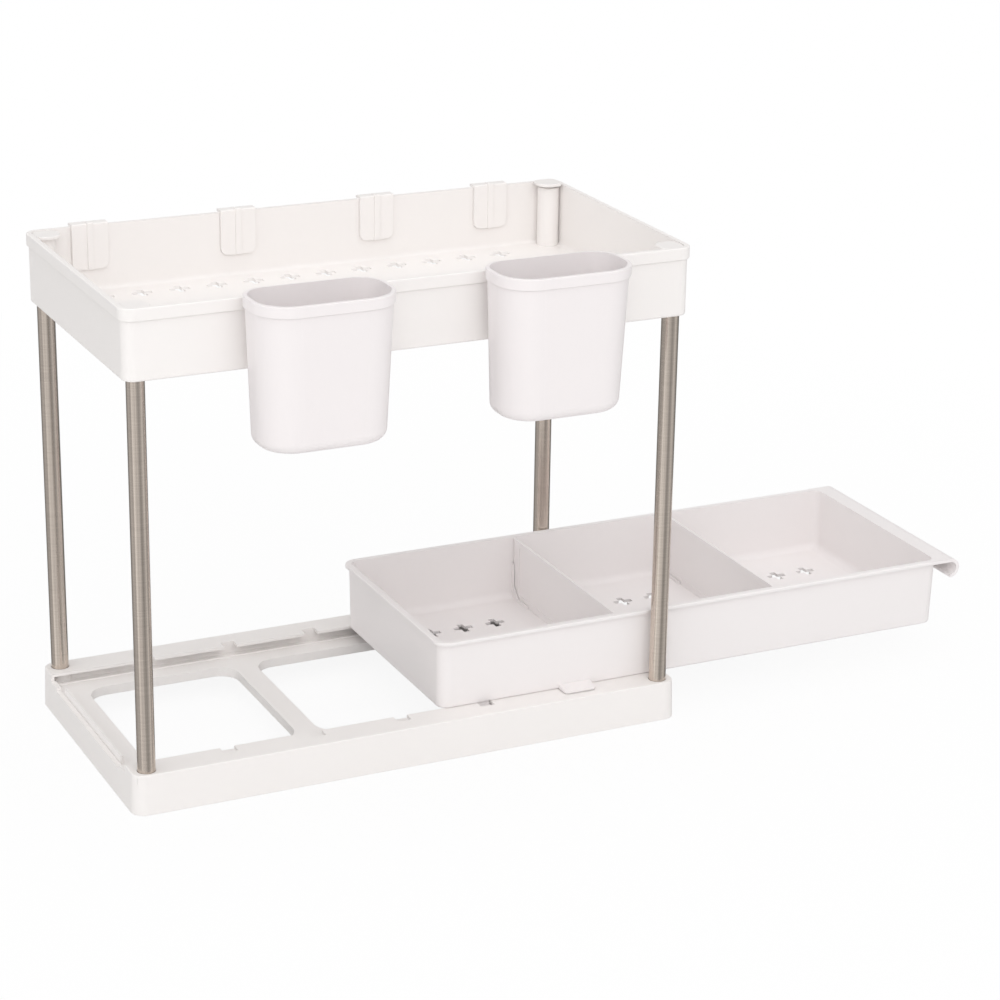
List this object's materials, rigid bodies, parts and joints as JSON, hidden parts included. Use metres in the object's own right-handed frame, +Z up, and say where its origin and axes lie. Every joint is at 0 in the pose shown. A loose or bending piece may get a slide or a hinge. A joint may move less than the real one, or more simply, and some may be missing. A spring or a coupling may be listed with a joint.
{
  "type": "under sink organizer",
  "caption": "Standing rack with a drained upper tray on steel posts, a divided pull-out drawer on base rails, and hanging cups and hooks on the tray rim.",
  "frame": {"origin": "middle of the base frame's outline, on the floor", "axes": "+X along the long side, the way the drawer pulls out; +Y to the back, where the hooks hang; +Z up"},
  "size_m": [0.6432, 0.2764, 0.348],
  "materials": {
    "plastic": "satin moulded, warm off-white",
    "steel": "brushed stainless tube"
  },
  "bodies": {
    "frame": {"base_frame": "plastic", "post_front_left": "steel", "post_front_right": "steel", "post_back_left": "steel", "post_back_right": "steel", "upper_tray": "plastic", "cap_front_left": "plastic", "cap_front_right": "plastic", "cap_back_left": "plastic", "cap_back_right": "plastic"},
    "drawer": {"drawer": "plastic"},
    "divider_inner": {"divider_inner": "plastic"},
    "divider_outer": {"divider_outer": "plastic"},
    "hook_1": {"hook_1": "plastic"},
    "hook_2": {"hook_2": "plastic"},
    "hook_3": {"hook_3": "plastic"},
    "hook_4": {"hook_4": "plastic"},
    "cup_left": {"cup_left": "plastic"},
    "cup_right": {"cup_right": "plastic"}
  },
  "joints": [
    {"name": "drawer_slide", "type": "slide", "parent": "frame", "child": "drawer", "axis": [1, 0, 0], "range_m": [-0.226, 0.042]},
    {"name": "divider_inner_lift", "type": "slide", "parent": "drawer", "child": "divider_inner", "axis": [0, 0, 1], "range_m": [0, 0.06]},
    {"name": "divider_outer_lift", "type": "slide", "parent": "drawer", "child": "divider_outer", "axis": [0, 0, 1], "range_m": [0, 0.06]},
    {"name": "hook_1_lift", "type": "slide", "parent": "frame", "child": "hook_1", "axis": [0, 0, 1], "range_m": [0, 0.045]},
    {"name": "hook_2_lift", "type": "slide", "parent": "frame", "child": "hook_2", "axis": [0, 0, 1], "range_m": [0, 0.045]},
    {"name": "hook_3_lift", "type": "slide", "parent": "frame", "child": "hook_3", "axis": [0, 0, 1], "range_m": [0, 0.045]},
    {"name": "hook_4_lift", "type": "slide", "parent": "frame", "child": "hook_4", "axis": [0, 0, 1], "range_m": [0, 0.045]},
    {"name": "cup_left_lift", "type": "slide", "parent": "frame", "child": "cup_left", "axis": [0, 0, 1], "range_m": [0, 0.04]},
    {"name": "cup_right_lift", "type": "slide", "parent": "frame", "child": "cup_right", "axis": [0, 0, 1], "range_m": [0, 0.04]}
  ]
}
